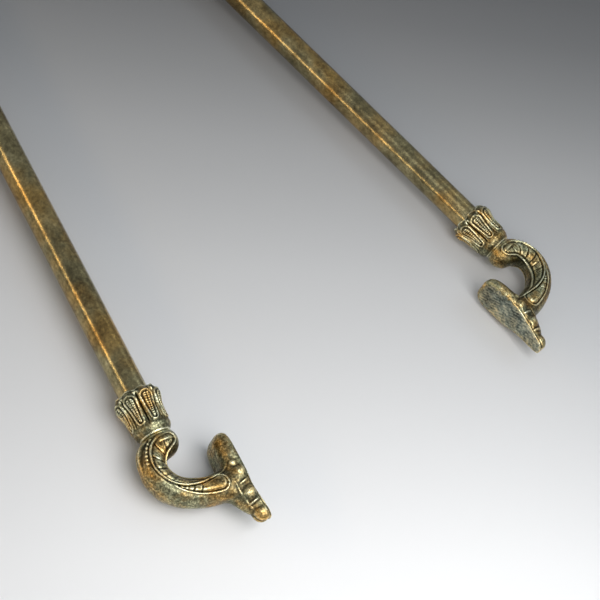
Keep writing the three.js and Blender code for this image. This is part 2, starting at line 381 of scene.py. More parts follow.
def casting(field, low, step):
    """The meshed field. If low's w is 0, it is only the half above, and the other half mirrors it."""
    low = list(low)
    if low[2] == 0:
        field = np.concatenate([field[:, :, :0:-1], field], axis=2)
        low[2] = -(field.shape[2] // 2) * step
    return surface_of(field, low, step)


# ---- the jaws
SCROLL = [  # stations of the C-scroll, as in sweep
    (18.0, 1.3, 4.8, 4.9, 0), (19.9, -3.2, 4.7, 5.0, 0), (22.8, -5.6, 4.4, 5.1, 0),
    (26.6, -6.4, 4.3, 5.1, 0), (31.4, -4.9, 4.35, 5.1, 0), (35.0, -1.4, 4.4, 5.1, 0),
    (37.1, 3.5, 4.6, 5.1, 0), (37.9, 8.4, 4.8, 5.1, 0), (37.9, 13.5, 5.0, 5.1, 0),
    (36.9, 18.0, 5.0, 5.0, 0),
]
# Lines on the scroll's skin: how far along, and the angle round it, where 0 faces the hole and 90 is up.
CREST_RIM = [(0, 112), (2, 119), (4.5, 119), (7, 116), (9.5, 112), (12, 108), (15, 101), (18, 95),
             (21, 88), (25, 77), (29, 67), (33.5, 55), (37.5, 47), (42, 44)]
HOLE_RIM = [(0, 58), (2, 52), (4.5, 44), (7, 36), (10, 28), (14, 24), (19, 26), (25, 34), (30, 46),
            (34, 50), (42, 50)]
BACK_RIM = [(18, 97), (20, 103), (24, 110), (28, 116), (32, 119), (36, 120), (42, 120)]
BACK_END = 38.0
BEAD_LINE = [(3, 137), (6, 134), (10, 130), (13, 128)]
BACK_RIDGE = [(0, 146), (3.5, 150), (5.5, 164), (8, 170), (14, 172)]
# Cuts across the leaf panels: how far along the scroll, and how deep.
HEAD_CUTS = ((2.2, 0.15), (5.8, 0.48), (9.9, 0.48), (13.6, 0.3), (16.4, 0.2), (19.2, 0.15))
BACK_CUTS = (19.6, 21.1, 23.0, 24.4, 26.3, 29.0)
BACK_CUT_DEPTH = 0.34

# The pad: its outline (u, w) seen from the face, then by u its face's n, its depth behind the face, its
# underside's height as a share of its top's, and the n of the ridge along its top.
PAD_OUTLINE = [(21.1, 0), (21.2, 2.8), (21.75, 4.6), (22.7, 5.9), (24.3, 6.8), (26.5, 7.3), (30, 7.4),
               (34, 7.0), (38, 6.3), (42, 5.3), (46, 4.4), (49.5, 3.6), (52, 2.7), (53.0, 1.6), (53.3, 0)]
PAD_FACE = [(21, 20.6), (27, 20.55), (36, 20.5), (41, 20.7), (46, 21.6), (50, 22.5), (53.5, 23.25)]
PAD_DEPTH = [(20.8, 5.0), (25, 5.5), (28, 5.8), (31, 5.9), (37, 6.2), (42, 7.7), (46, 7.0), (50, 4.9),
             (53.4, 2.4)]
UNDERSIDE = [(37, 1.0), (44, 0.86), (50, 0.66), (54, 0.6)]
SKIN_RIDGE = [(37, 14.6), (43.2, 15.4), (47, 16.6), (49.6, 17.9), (52.8, 20.0)]
LOBES = [  # centre (u, n, w), radii along u, n and w, and its lean in the plane of the arms, in degrees
    ((33.3, 16.7, 5.7), (1.2, 1.2, 1.15), 0),
    ((36.5, 18.0, 3.4), (3.1, 3.2, 3.8), -18),
    ((39.9, 18.1, 3.2), (0.9, 3.1, 3.05), 16),
    ((43.4, 18.5, 2.4), (3.2, 3.3, 3.4), 12),
    ((46.7, 19.3, 2.0), (0.8, 2.9, 2.6), 16),
    ((50.2, 20.6, 1.2), (3.0, 2.8, 2.6), 16),
]


def scroll_relief(s, phi, cap, size):
    """How far the carving stands off the scroll's skin: rims, beads, sunk leaf panels, their cuts."""
    arc = np.radians(1) * size
    crest = (profile(s, CREST_RIM) - phi) * arc
    hole = (phi - profile(s, HOLE_RIM)) * arc
    inside = np.where(cap > 0, cap_inside(phi, cap, arc), np.minimum(crest, hole))
    open_panel = 1 - ease(s, 22, 31)
    height = 0.34 * bump(inside, 0.28) * (crest > -2)
    height += 0.30 * bump(crest, 0.30) * ease(s, 14, 20) * (1 - bump(inside, 0.5))
    height -= 0.46 * ease(inside, 0.25, 0.7) * open_panel
    height += leaf_cuts(s, phi, inside, arc) * open_panel
    height -= 0.26 * bump(crest + 0.55, 0.24) * ease(s, 1, 4)
    height += outer_work(s, phi, arc)
    height += back_panel(s, phi, crest, arc)
    return height


def cap_inside(phi, cap, arc):
    """How far inside the head panel's rim. cap runs round the end, from 0 by the crest to 1."""
    rise = np.where(phi > 90, 180 - phi, phi)
    return (rise - (68 - 10 * np.clip(cap, 0, 1))) * arc


def leaf_cuts(s, phi, inside, arc):
    """Leaves that fill a sunk panel: plump segments, deep slanting cuts between them, and veins."""
    middle = (profile(s, CREST_RIM) + profile(s, HOLE_RIM)) / 2
    across = (phi - middle) * arc
    plump = 0.34 * ease(inside, 0.45, 1.5)
    for place, depth in HEAD_CUTS:
        slant = s - place + 0.30 * across + 0.06 * across * across
        plump = plump - depth * bump(slant, 0.36) * ease(inside, 0.4, 0.7)
    veins = np.sin(7.5 * s + 3.4 * across + 1.6 * np.sin(1.1 * s))
    veins = veins * (0.3 + 0.7 * np.sin(0.8 * s + 0.9) ** 2)
    return plump + 0.07 * veins * ease(inside, 0.5, 0.9)


def outer_work(s, phi, arc):
    """The row of beads in its valley on the scroll's outer shoulder, and the ridge beyond."""
    here = ease(s, 0.5, 3) * (1 - ease(s, 9.5, 13))
    beads = (phi - profile(s, BEAD_LINE)) * arc
    ridge = (phi - profile(s, BACK_RIDGE)) * arc
    valley = ease(beads, -1.1, -0.3) * (1 - ease(ridge, -1.3, -0.2))
    pearl = 0.72 + 0.28 * np.cos(2 * np.pi * s / 1.05)
    strand = 0.8 * pearl * bump(beads, 0.52)
    return here * (strand - 0.55 * valley + 0.55 * bump(ridge, 0.75) * (1 - ease(s, 7, 12)))


def back_panel(s, phi, crest, arc):
    """The leaf on the outer half, from the scroll's bottom to the pad: rim, cut segments, plump tip."""
    rim = (profile(s, BACK_RIM) - phi) * arc
    half = (rim - crest) / 2
    across = (rim + crest) / 2
    inside = half - np.hypot(across, np.maximum(s - BACK_END + half, 0))
    here = ease(s, 17, 20)
    height = 0.22 * bump(inside, 0.26) * (1 - bump(crest, 0.3))
    height -= 0.34 * ease(inside, 0.2, 0.5) * (1 - ease(inside, 0.5, 0.95))
    height += 0.62 * ease(inside, 0.45, 1.5) * ease(s, 22, 31)
    for place in BACK_CUTS:
        notch = bump(s - place - 0.3 * crest, 0.24) * ease(inside, 0.15, 0.45)
        height = height - BACK_CUT_DEPTH * notch
    return here * height


JAW_BOX = (15.0, -12.6, 0.0), (54.8, 24.4, 8.6)
JAW_START = 15.3


def jaw_field(step):
    """The distance field of one half of the jaw, w >= 0, and the grid's lowest corner."""
    u, n, w = grid(*JAW_BOX, step)
    s, phi, cap, size, scroll = sweep(SCROLL, u, n, w)
    carving = carving_of(np.where(s < 41, scroll, 9), scroll_relief, s, phi, cap, size)
    scroll = scroll - carving * ease(20.2 - n, 0, 2.5) * ease(u, 15.4, 17.0)
    neck_radius = 4.75 + 0.5 * ease(u, 16, 18)
    neck = np.sqrt(n ** 2 + w ** 2) - neck_radius + 8 * ease(u, 18.2, 21)
    body = smooth_min(scroll, neck, 0.9)
    body = smooth_min(body, pad_field(u, n, w, step), 2.3)
    ridge = bump(n - profile(u, SKIN_RIDGE), 0.3) * ease(w, 1.5, 3.0) * ease(u, 38.5, 40.5)
    body = body - 0.25 * ridge
    for centre, radii, lean in LOBES:
        body = smooth_min(body, lobe(u, n, w, centre, radii, lean), 0.45)
    behind = profile(u, PAD_FACE) - n
    body = body + 0.25 * bump(behind - 0.85, 0.3) * ease(u, 33.0, 36.0)
    rounding = 3.4 - 1.5 * ease(u, 28.0, 38.0) - 0.9 * ease(u, 42.0, 50.0)
    body = -smooth_min(-body, behind, rounding)
    return cut(body, JAW_START - u, stud_hole(u, n, w)), JAW_BOX[0]


def pad_field(u, n, w, step):
    """The pad: a plate of this outline at the gripping face, rounded away behind."""
    outline, _ = curve_through(PAD_OUTLINE, 300)
    flat_u, flat_w = np.broadcast_arrays(u[:, 0, :], w[:, 0, :])
    _, left, _ = nearest_on(outline, flat_u, flat_w)
    inside = -left.astype(np.float32)[:, None, :]
    behind = profile(u, PAD_FACE) - n
    lip = 0.12 * ease(behind, 0.5, 1.2) * ease(u, 30, 33)
    edge = np.maximum(1 - (inside - lip) / 5.5, 0)
    depth = np.maximum(behind, 0) / profile(u, PAD_DEPTH)
    share = superellipse(edge, depth, 2.3 + 0.6 * ease(u, 28, 35))
    return per_mm((share - 1).astype(np.float32), step)


def lobe(u, n, w, centre, radii, lean):
    c, s = math.cos(math.radians(lean)), math.sin(math.radians(lean))
    du, dn, dw = u - centre[0], n - centre[1], w - centre[2]
    along, across = c * du + s * dn, c * dn - s * du
    share = np.sqrt((along / radii[0]) ** 2 + (across / radii[1]) ** 2 + (dw / radii[2]) ** 2)
    reach = np.sqrt(du ** 2 + dn ** 2 + dw ** 2)
    return reach - reach / np.maximum(share, 0.05)


def stud_hole(u, n, w):
    return np.minimum(STUD_BORE - np.sqrt(n ** 2 + w ** 2), STUD_HOLE_END - u)


def jaw_mesh():
    """The jaw's points and quads, their relief, and which quads are the unpolished gripping face."""
    step = finer(0.2)
    points, quads = casting(*jaw_field(step), step)
    points[:, 2] *= np.where(points[:, 2] < 0, profile(points[:, 0], UNDERSIDE), 1.0)
    behind = profile(points[:, 0], PAD_FACE) - points[:, 1]
    skin = ease(points[:, 0], 16.0, 18.0) * ease(behind, 0.4, 1.2)
    points = points + (normals_of(points, quads) * (rough_cast(points, 0.007) * skin)[:, None])
    scratched = rough_cast(points, 0.014, (1.1, 1.9, 4.0))
    points[:, 1] -= (1 - ease(behind, 0.1, 0.5)) * np.maximum(scratched + 0.08, 0)
    patchy = rough_cast(points, 0.10, (1.4, 2.6))
    is_face = (behind < 0.32 + patchy * 0.4)[quads].all(axis=1)
    return points, quads, relief(points, quads, finer(14)), is_face


# ---- materials
def tree_of(name):
    """A new material, its node tree and its shader."""
    material = bpy.data.materials.new(name)
    material.use_nodes = True
    return material, material.node_tree, material.node_tree.nodes["Principled BSDF"]


def noise_node(tree, coords, scale, detail, roughness, stretch=None):
    """Noise over the coordinates. stretch is a turn and a scale that they are given first."""
    node = tree.nodes.new("ShaderNodeTexNoise")
    for key, value in (("Scale", scale), ("Detail", detail), ("Roughness", roughness)):
        node.inputs[key].default_value = value
    if stretch is not None:
        mapping = tree.nodes.new("ShaderNodeMapping")
        for key, value in zip(("Rotation", "Scale"), stretch):
            mapping.inputs[key].default_value = value
        tree.links.new(coords, mapping.inputs["Vector"])
        coords = mapping.outputs["Vector"]
    tree.links.new(coords, node.inputs["Vector"])
    return node.outputs["Fac"]


def math_node(tree, kind, a, b):
    node = tree.nodes.new("ShaderNodeMath")
    node.operation = kind
    for socket, value in zip(node.inputs, (a, b)):
        if isinstance(value, (int, float)):
            socket.default_value = value
        else:
            tree.links.new(value, socket)
    return node.outputs[0]


def ramp_node(tree, source, stops):
    node = tree.nodes.new("ShaderNodeValToRGB")
    band = node.color_ramp
    while len(band.elements) < len(stops):
        band.elements.new(0.5)
    for element, (place, colour) in zip(band.elements, stops):
        element.position = place
        element.color = (*colour, 1)
    tree.links.new(source, node.inputs["Fac"])
    return node.outputs["Color"]


def range_node(tree, source, low, high, to_low=0.0, to_high=1.0):
    node = tree.nodes.new("ShaderNodeMapRange")
    for key, value in zip(("From Min", "From Max", "To Min", "To Max"), (low, high, to_low, to_high)):
        node.inputs[key].default_value = value
    tree.links.new(source, node.inputs["Value"])
    return node.outputs["Result"]


def mix_colours(tree, share, first, second):
    node = tree.nodes.new("ShaderNodeMix")
    node.data_type = "RGBA"
    tree.links.new(share, node.inputs["Factor"])
    tree.links.new(first, node.inputs[6])
    tree.links.new(second, node.inputs[7])
    return node.outputs[2]


def aged_metal(name, colours, wear, rough, grain, contrast, pitting, stretch=None):
    """Metal whose colour runs from its hollows to its worn edges by the mesh's proud attribute.

    wear is how many mm proud count as fully worn, rough the roughness in the hollows and on the edges,
    grain the scales of the patches, specks and pits, contrast how strongly the patches and the specks
    change the tone, and pitting the pits' depth in metres.
    """
    material, tree, shader = tree_of(name)
    coords = tree.nodes.new("ShaderNodeTexCoord").outputs["Object"]
    proud = tree.nodes.new("ShaderNodeAttribute")
    proud.attribute_name = "proud"
    tone = range_node(tree, proud.outputs["Fac"], -wear, wear)
    patches = noise_node(tree, coords, grain[0], 5.0, 0.65, stretch)
    specks = noise_node(tree, coords, grain[1], 4.0, 0.7, stretch)
    for noise, amount in zip((patches, specks), contrast):
        off_middle = math_node(tree, "SUBTRACT", noise, 0.5)
        tone = math_node(tree, "ADD", tone, math_node(tree, "MULTIPLY", off_middle, amount))
    hue = range_node(tree, noise_node(tree, coords, grain[0] * 0.4, 3.0, 0.6), 0.43, 0.65)
    cool, warm = (ramp_node(tree, tone, [(row[0], row[k]) for row in colours]) for k in (1, 2))
    tree.links.new(mix_colours(tree, hue, cool, warm), shader.inputs["Base Color"])
    tree.links.new(range_node(tree, tone, 0.1, 0.9, *rough), shader.inputs["Roughness"])
    pits = noise_node(tree, coords, grain[2], 5.0, 0.6, stretch)
    height = math_node(tree, "ADD", pits, math_node(tree, "MULTIPLY", specks, 1.5))
    bump_node = tree.nodes.new("ShaderNodeBump")
    bump_node.inputs["Distance"].default_value = pitting
    tree.links.new(height, bump_node.inputs["Height"])
    tree.links.new(bump_node.outputs["Normal"], shader.inputs["Normal"])
    shader.inputs["Metallic"].default_value = 1.0
    return material


# Colour ramps from hollows to worn edges: place, colour in the cool patches, colour in the warm ones.
CAST_COLOURS = [
    (0.12, (0.032, 0.034, 0.024), (0.046, 0.029, 0.012)),
    (0.38, (0.096, 0.095, 0.056), (0.14, 0.084, 0.028)),
    (0.56, (0.21, 0.205, 0.118), (0.3, 0.188, 0.06)),
    (0.76, (0.58, 0.56, 0.33), (0.78, 0.48, 0.15)),
    (0.95, (0.88, 0.87, 0.63), (1.0, 0.76, 0.36)),
]
ROD_COLOURS = [
    (0.2, (0.1, 0.085, 0.045), (0.145, 0.09, 0.034)),
    (0.42, (0.26, 0.22, 0.115), (0.35, 0.225, 0.08)),
    (0.6, (0.42, 0.36, 0.19), (0.56, 0.37, 0.13)),
    (0.85, (0.74, 0.64, 0.36), (0.9, 0.58, 0.2)),
]
FACE_COLOURS = [
    (0.15, (0.035, 0.045, 0.042), (0.06, 0.05, 0.035)),
    (0.4, (0.16, 0.185, 0.155), (0.24, 0.21, 0.135)),
    (0.62, (0.37, 0.39, 0.31), (0.44, 0.38, 0.22)),
    (0.85, (0.66, 0.62, 0.44), (0.82, 0.64, 0.32)),
]
STEEL_COLOURS = [
    (0.2, (0.09, 0.09, 0.085), (0.12, 0.1, 0.075)),
    (0.5, (0.25, 0.25, 0.24), (0.29, 0.26, 0.22)),
    (0.85, (0.45, 0.45, 0.43), (0.48, 0.45, 0.4)),
]
SCRATCHES = ((0.0, 0.0, 0.6), (1.0, 0.35, 1.0))

cast_brass = aged_metal("aged_cast_brass", CAST_COLOURS, wear=0.14, rough=(0.44, 0.26),
                        grain=(330, 1500, 2600), contrast=(0.5, 1.2), pitting=0.00006)
rod_brass = aged_metal("tarnished_rod_brass", ROD_COLOURS, wear=0.15, rough=(0.27, 0.19),
                       grain=(130, 800, 2000), contrast=(0.9, 0.9), pitting=0.00003)
worn_face = aged_metal("rough_gripping_face", FACE_COLOURS, wear=0.12, rough=(0.60, 0.38),
                        grain=(190, 1200, 2800), contrast=(1.2, 1.3), pitting=0.00010, stretch=SCRATCHES)
steel = aged_metal("darkened_steel", STEEL_COLOURS, wear=0.15, rough=(0.5, 0.35),
                   grain=(150, 900, 2400), contrast=(0.9, 0.7), pitting=0.00004)


# ---- collars
COLLAR_BODY = [(-1, 6.3), (0, 6.85), (1, 7.35), (2, 7.62), (3, 7.6), (4, 7.3), (5.2, 6.95), (6.5, 6.7),
               (8, 6.55), (10, 6.42), (11.6, 6.45), (12.6, 6.45), (13.4, 6.2), (14.1, 5.75), (14.6, 5.4),
               (15, 5.15)]
PETALS = 8
HALF_PETAL = 180 / PETALS  # degrees
PETAL_RADIUS = 7.0
SEAT_RADIUS = 5.25


def collar_skin(x, turn, lip):
    """Radius of a tulip collar's outside, x mm from its mouth and turn degrees from a petal's middle."""
    radius = profile(x, COLLAR_BODY) - 0.1
    y = np.radians(turn) * PETAL_RADIUS
    flare = np.interp(x, [-1, 1.0, 4, 9, 11.5], [0.42, 0.36, 0.24, 0.18, 0])
    radius += flare * np.cos(np.radians(turn * PETALS))
    between = np.radians(HALF_PETAL - np.abs(turn)) * PETAL_RADIUS
    groove = bump(between, 0.30) * (1 - ease(x, 9.8, 12.0)) * ease(x, lip - 0.2, lip + 1)
    radius -= 0.62 * groove
    spine = np.hypot(x - np.clip(x, 3.3, 9.9), y)
    inside = np.interp(x, [2, 11], [2.15, 1.25]) - spine
    radius += 0.36 * bump(inside, 0.38)
    radius -= 0.18 * bump(inside - 0.68, 0.25)
    rib = ease(inside, 0.75, 1.05)
    beads = 0.5 + 0.5 * np.cos(2 * np.pi * x / 0.72)
    parted = bump(y, 0.2) * (1 - ease(x, 7, 8.5))
    radius += rib * (0.30 - 0.15 * beads) - 0.24 * rib * parted
    pearl = bump(x - 0.7, 0.75) * bump(between, 0.85)
    return radius + 0.85 * pearl


def collar_mesh(roll):
    """A tulip collar: mouth at u = 0, base at u = 15, bored for its stud, with a seat for its bar."""
    angle = round_angles(finer(288))
    turn = (np.degrees(angle) - roll + HALF_PETAL) % (2 * HALF_PETAL) - HALF_PETAL
    lip = -0.45 + 0.85 * (np.abs(turn) / HALF_PETAL) ** 2.2
    rows = []
    for share in np.linspace(1, 0, finer(130)) ** 1.15:
        x = lip + share * (COLLAR_LENGTH - lip)
        rows.append((x, collar_skin(x, turn, lip)))
    edge_radius = rows[-1][1]
    for bend in (30, 60, 95, 130, 165):
        tilt = math.radians(bend)
        rows.append((lip - 0.55 * math.sin(tilt), edge_radius - 0.5 * (1 - math.cos(tilt))))
    pearl = 1.7 * bump(np.radians(HALF_PETAL - np.abs(turn)) * 6.4, 0.95)
    for share in np.linspace(0.06, 1, 18):
        radius = (edge_radius - 1.0) * (1 - share) + SEAT_RADIUS * share
        hollow = 0.55 * math.sin(math.pi * min(share, 0.9)) + 1.3 * share
        rise = pearl * bump(share - 0.38, 0.3)
        rows.append((lip * (1 - share) + hollow - rise, radius))
    rows += [(COLLAR_SEAT, SEAT_RADIUS), (COLLAR_SEAT, STUD_BORE), (COLLAR_LENGTH, STUD_BORE)]
    points, quads = ring_skin(turned_rings(rows, angle), closed=True)
    away = np.hypot(points[:, 1], points[:, 2])
    wave = rough_cast(points, 0.012) * ease(away, 5.4, 6.2)
    points[:, 1:] *= (1 + wave / away.clip(1))[:, None]
    return points, quads, relief(points, quads, 10)


# ---- bars and turned pieces
BAR_HOLE_DEPTH = 13.3
BAR_CHAMFER = 0.3
BAR_ROW = 1.5  # between rings of points


def bar_mesh(length):
    """A round bar from u = 0, with a blind hole in each end, and faint dents of long handling."""
    angle = round_angles(finer(96))
    end = [(BAR_HOLE_DEPTH, STUD_BORE), (0.0, STUD_BORE), (0.0, rod_radius - BAR_CHAMFER),
           (BAR_CHAMFER, rod_radius)]
    rows = end + [(x, rod_radius) for x in np.linspace(BAR_ROW, length - BAR_ROW, int(length / BAR_ROW))]
    rows += [(length - x, r) for x, r in end[::-1]]
    phase = rng.uniform(0, 2 * np.pi, 6)
    dented = []
    for x, r in rows:
        dent = 0.016 * np.sin(x / 17 + phase[0] + 2 * np.sin(angle + phase[1]))
        dent = dent + 0.012 * np.sin(x / 6.1 + phase[2]) * np.sin(2 * angle + phase[3])
        dent = dent + 0.007 * np.sin(x / 2.7 + phase[4]) * np.sin(3 * angle + x / 9 + phase[5])
        dented.append((x, r + dent * (r > rod_radius - 0.5)))
    points, faces = capped_skin(turned_rings(dented, angle))
    return points, faces, np.zeros(len(points))


def flutes(angle, count, twist):
    """0 in the sharp groove between two plump flutes, 1 on their crowns. twist is in radians."""
    return np.sqrt(np.abs(np.sin(count / 2 * (angle + twist))))


def beads_round(angle, count):
    return 0.5 + 0.5 * np.cos(count * angle)


# The grip and the finial, each from its lower end: place, half its width, half its height.
GRIP_LENGTH = 84
GRIP = [
    (0, 5.5, 5.5), (1.2, 6.3, 6.2), (3, 7.0, 6.8), (5, 7.2, 7.0), (7, 6.5, 6.2), (9, 6.1, 5.7),
    (11, 6.2, 5.7), (16, 7.2, 6.3), (24, 9.2, 7.1), (33, 11.2, 7.7), (42, 12.2, 7.95), (51, 12.3, 7.95),
    (58, 11.8, 7.9), (65, 10.2, 7.4), (70, 8.4, 6.8), (74, 7.0, 6.2), (77, 6.1, 5.8), (79.5, 6.1, 5.8),
    (82, 6.9, 6.8), (GRIP_LENGTH, 6.6, 6.5),
]
FINIAL_LENGTH = 30
FINIAL = [
    (0, 5.0, 5.0), (1, 6.4, 6.2), (2.2, 6.9, 6.5), (3.2, 6.3, 6.0), (4.4, 7.4, 6.6), (8, 10.9, 7.7),
    (12, 12.0, 8.05), (16, 11.2, 7.9), (20, 8.6, 7.0), (23, 5.8, 5.2), (24.6, 4.4, 4.3), (25.6, 4.6, 4.5),
    (27, 4.3, 4.3), (28.6, 3.1, 3.1), (29.6, 1.7, 1.7), (FINIAL_LENGTH, 0.5, 0.5),
]
FINIAL_BORE_DEPTH = 10.3
RING_LENGTH = 5


def oval_at(x, table):
    """Half the width and half the height at x, by a table of (place, half width, half height)."""
    return (profile(x, [(row[0], row[k]) for row in table]) for k in (1, 2))


def grip_work(x, angle):
    """How deep the grip's chasing goes at x: beads, flutes, and a leafy belt with roped edges."""
    flute = flutes(angle, 14, 0.22 * math.sin(x / 11))
    fluted = ease(x, 10.5, 13) * (1 - ease(x, 34, 37))
    fluted += ease(x, 51, 54) * (1 - ease(x, 73, 76))
    depth = 0.95 * fluted * (1 - flute)
    for middle in (37.6, 50.4):
        rope = 0.5 + 0.5 * np.cos(34 * angle + 2.2 * (x - middle))
        depth += (0.62 - 0.34 * rope) * ease(abs(x - middle), 0.9, 0.5)
        depth += 0.55 * bump(abs(x - middle) - 1.15, 0.28)
    for middle in (4.4, 81.6):
        here = ease(abs(x - middle), 1.0, 0.6)
        depth += here * 0.5 * (1 - beads_round(angle, 26))
        depth += 0.35 * bump(abs(x - middle) - 1.15, 0.3)
    belt = ease(x, 39.2, 39.8) * (1 - ease(x, 48.2, 48.8))
    leaf = np.abs(np.sin(5 * angle)) - 0.9 * abs(x - 44) / 4.4
    return depth + belt * (0.42 - 0.34 * ease(leaf, -0.06, 0.14) + 0.22 * bump(leaf - 0.42, 0.10))


def grip_mesh():
    angle = round_angles(finer(280))
    rows = []
    for x in np.linspace(0, GRIP_LENGTH, finer(380)):
        depth = grip_work(x, angle)
        rows.append((x, *(half - depth for half in oval_at(x, GRIP))))
    rows += [(GRIP_LENGTH, STUD_BORE), (0, STUD_BORE)]
    points, quads = ring_skin(turned_rings(rows, angle), closed=True)
    return points, quads, relief(points, quads, 12)


def finial_ring_mesh():
    """A roped ring between two fillets."""
    angle = round_angles(finer(288))
    rows = []
    for x in np.linspace(0, RING_LENGTH, 40):
        rope = flutes(angle, 22, 0.16 * (x - 2.5))
        swell = math.sqrt(max(1 - ((x - 2.5) / 1.75) ** 2, 0))
        fillet = 0.25 * bump(abs(x - 2.5) - 2.2, 0.28)
        rows.append((x, 6.5 + 1.5 * swell - 0.5 * (1 - rope) * swell + fillet))
    rows += [(RING_LENGTH, STUD_BORE), (0, STUD_BORE)]
    points, quads = ring_skin(turned_rings(rows, angle), closed=True)
    return points, quads, relief(points, quads, 10)


def finial_mesh():
    """A flame-shaped bud of swirling flutes over a beaded collar, with a button at the tip."""
    angle = round_angles(finer(264))
    rows = [(FINIAL_BORE_DEPTH, STUD_BORE), (0, STUD_BORE)]
    for x in np.linspace(0, FINIAL_LENGTH, finer(150)):
        swirl = ease(x, 4, 6) * (1 - ease(x, 22, 24.4))
        depth = swirl * (1 - flutes(angle, 12, 0.035 * (x - 12)))
        depth += 0.4 * ease(abs(x - 2.2), 0.9, 0.5) * (1 - beads_round(angle, 24))
        rows.append((x, *(half - depth for half in oval_at(x, FINIAL))))
    rings = turned_rings(rows, angle)
    points, faces = capped_skin(rings)
    proud = relief(points, ring_skin(rings, closed=False)[1], 12)
    return points, faces, proud


def rosette_mesh():
    """A washer whose rim shows as twelve petals, 0.6 thick, from its lower face at u = 0."""
    angle = round_angles(finer(240))
    petal = flutes(angle, 12, 0)
    crease = bump(np.abs(np.sin(6 * angle)) - 1, 0.12)
    edge = 8.35 + 0.6 * petal
    rows = [(0, PIN_BORE), (0, edge - 0.1), (0.12, edge)]
    for share in np.linspace(0, 1, 14):
        radius = edge - 0.05 - share * (edge - 5.6)
        clear_of_head = ease(share, 0.7, 0.45)
        dish = 0.28 + (0.3 + 0.35 * clear_of_head) * math.sin(math.pi * min(1, 0.15 + share)) * petal
        rows.append((dish - 0.14 * crease * bump(share - 0.3, 0.3), radius))
    rows += [(0.5, 5.4), (0.5, PIN_BORE)]
    points, quads = ring_skin(turned_rings(rows, angle), closed=True)
    return points, quads, relief(points, quads, 6)


def rivet_mesh():
    """The rivet: its shank and two peened heads, flat on top, with the facets that the hammer left."""
    angle = round_angles(finer(120))
    head = [(8.2, 3.6), (8.17, 4.5), (8.02, 5.3), (7.75, 5.9), (7.5, 6.3), (7.38, 6.45), (7.32, 6.3),
            (7.32, SHANK_RADIUS)]
    rows = [(-x, r) for x, r in head] + [(x, SHANK_RADIUS) for x in np.linspace(-7, 7, 15)] + head[::-1]
    hammered = []
    for x, r in rows:
        dents = 0.11 * np.sin(5 * angle + 1.3 * r) * np.sin(3 * angle + 0.7)
        hammered.append((x, r + dents * (r > 4 and abs(x) < 8.19)))
    points, faces = capped_skin(turned_rings(hammered, angle))
    return points, faces, np.zeros(len(points))


# ---- the hinge
PIN_BORE, SHANK_RADIUS = 3.2, 3.0
LEAF_MIDDLE, LEAF_HALF, LEAF_RADIUS = 2.05, 1.6, 11.4
CLEAR_OF_FORK = 12.6
KNUCKLE = [  # stations from the rivet to the rod: along, outwards, and the rest as in sweep
    (2.0, 1.5, 5.4, 1.55, 2.05), (9.5, 8.0, 4.7, 1.6, 2.05), (16.0, 15.2, 4.3, 3.5, 0.9),
    (23.0, 20.4, 4.7, 4.6, 0.1), (32.0, 21.0, 4.9, 4.9, 0.0), (46.0, 21.0, 5.0, 5.0, 0.0),
]
KNUCKLE_BOX = (-12.0, -12.0, -6.4), (46.5, 27.2, 6.4)
KNUCKLE_END, KNUCKLE_BORE_FROM = 45.7, 39.4
KNUCKLE_LEAF = [(0, 0.2), (14, 0.8), (19, 3.4), (26, 4.0), (34, 3.0), (41, 1.0), (44, 0.2), (60, 0.2)]
YOKE = [(0, 0, 11.8, 6.5, 0), (8, 0, 11.8, 6.5, 0), (14, 0, 10.3, 6.5, 0), (19, 0, 7.1, 6.2, 0),
        (23, 0, 5.4, 5.4, 0), (27, 0, 5.1, 5.1, 0)]
YOKE_BOX = (-12.6, -12.6, 0.0), (27.4, 12.6, 7.4)
YOKE_END, YOKE_BORE_FROM = 26.7, 20.4
YOKE_LEAF = [(0, 0.1), (11.5, 0.4), (14, 3.4), (17.5, 4.3), (21, 2.6), (24, 0.5), (27, 0.1)]
CHEEK_RADIUS, CHEEK_TOP, CHEEK_UNDER = 11.9, 6.5, 3.85
SLOT_RADIUS = 13.2
HINGE_STEP = finer(0.25)


def acanthus(s, phi, size, widths):
    """A leaf along a bar's top and underside: rim, ribs and vein. widths has (place, half width)."""
    across = np.abs((np.abs(phi) - 90) * np.radians(1) * size)
    inside = profile(s, widths) - across
    height = 0.38 * bump(inside, 0.28) - 0.34 * ease(inside, 0.3, 0.65)
    height += 0.46 * ease(inside, 0.5, 1.6) + 0.24 * bump(across, 0.3)
    ribs = np.abs((s - 0.9 * across) / 2.2 % 1 - 0.5) * 2.2
    return height - 0.4 * bump(ribs, 0.3) * ease(inside, 0.35, 0.6) * ease(across, 0.1, 0.4)


def bead_ring(s, phi, middle, count):
    """A ring of beads round a bar, between two fillets."""
    beads = 0.7 + 0.3 * np.cos(np.radians(phi) * count)
    gap = np.abs(s - middle)
    return 0.5 * beads * bump(gap, 0.6) - 0.3 * bump(gap - 1.15, 0.35) + 0.25 * bump(gap - 1.9, 0.4)


def knuckle_work(s, phi, size):
    here = ease(s, 15, 18) * (1 - ease(s, 41, 43))
    return here * acanthus(s, phi, size, KNUCKLE_LEAF) + bead_ring(s, phi, 46.2, 24)


